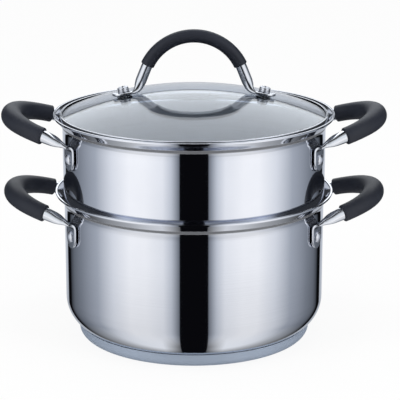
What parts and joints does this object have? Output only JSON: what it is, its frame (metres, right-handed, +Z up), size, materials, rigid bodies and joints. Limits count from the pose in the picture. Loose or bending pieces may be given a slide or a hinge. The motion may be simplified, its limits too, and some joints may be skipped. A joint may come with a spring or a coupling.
{
  "type": "steamer pot",
  "caption": "Polished steel pot with a thick base, a perforated steamer insert nested in its flared rim, a domed glass lid, and tube loop handles with soft grips.",
  "frame": {"origin": "centre of the underside of the pot's base", "axes": "+Z up along the vessels' axis; +X along the side handles and the lid's arch; -Y is the pictured front"},
  "size_m": [0.2962, 0.2162, 0.2395],
  "materials": {
    "polished_steel": "mirror-polished stainless sheet",
    "satin_steel": "satin stainless cladding",
    "tube_steel": "polished stainless tube",
    "rim_steel": "polished stainless band",
    "fastener_steel": "polished stainless fastener",
    "base_aluminium": "as pressed",
    "soft_grip": "matt silicone",
    "lid_glass": "clear tempered glass"
  },
  "bodies": {
    "pot": {"pot_body": "polished_steel", "pot_base_core": "base_aluminium", "pot_base_cladding": "satin_steel", "pot_handle_left": "tube_steel", "pot_handle_right": "tube_steel", "pot_grip_left": "soft_grip", "pot_grip_right": "soft_grip", "pot_rivet_left_front": "fastener_steel", "pot_rivet_left_back": "fastener_steel", "pot_rivet_right_front": "fastener_steel", "pot_rivet_right_back": "fastener_steel"},
    "steamer": {"steamer_body": "polished_steel", "steamer_handle_left": "tube_steel", "steamer_handle_right": "tube_steel", "steamer_grip_left": "soft_grip", "steamer_grip_right": "soft_grip", "steamer_rivet_left_front": "fastener_steel", "steamer_rivet_left_back": "fastener_steel", "steamer_rivet_right_front": "fastener_steel", "steamer_rivet_right_back": "fastener_steel"},
    "lid": {"lid_glass": "lid_glass", "lid_rim": "rim_steel", "lid_handle": "tube_steel", "lid_grip": "soft_grip", "lid_screw_left": "fastener_steel", "lid_screw_right": "fastener_steel", "lid_gasket_left": "soft_grip", "lid_gasket_right": "soft_grip", "lid_seal_left": "soft_grip", "lid_seal_right": "soft_grip", "lid_nut_left": "fastener_steel", "lid_nut_right": "fastener_steel"}
  },
  "joints": [
    {"name": "steamer_lift", "type": "slide", "parent": "pot", "child": "steamer", "axis": [0, 0, 1], "range_m": [0, 0.2]},
    {"name": "lid_lift", "type": "slide", "parent": "steamer", "child": "lid", "axis": [0, 0, 1], "range_m": [0, 0.16]}
  ]
}
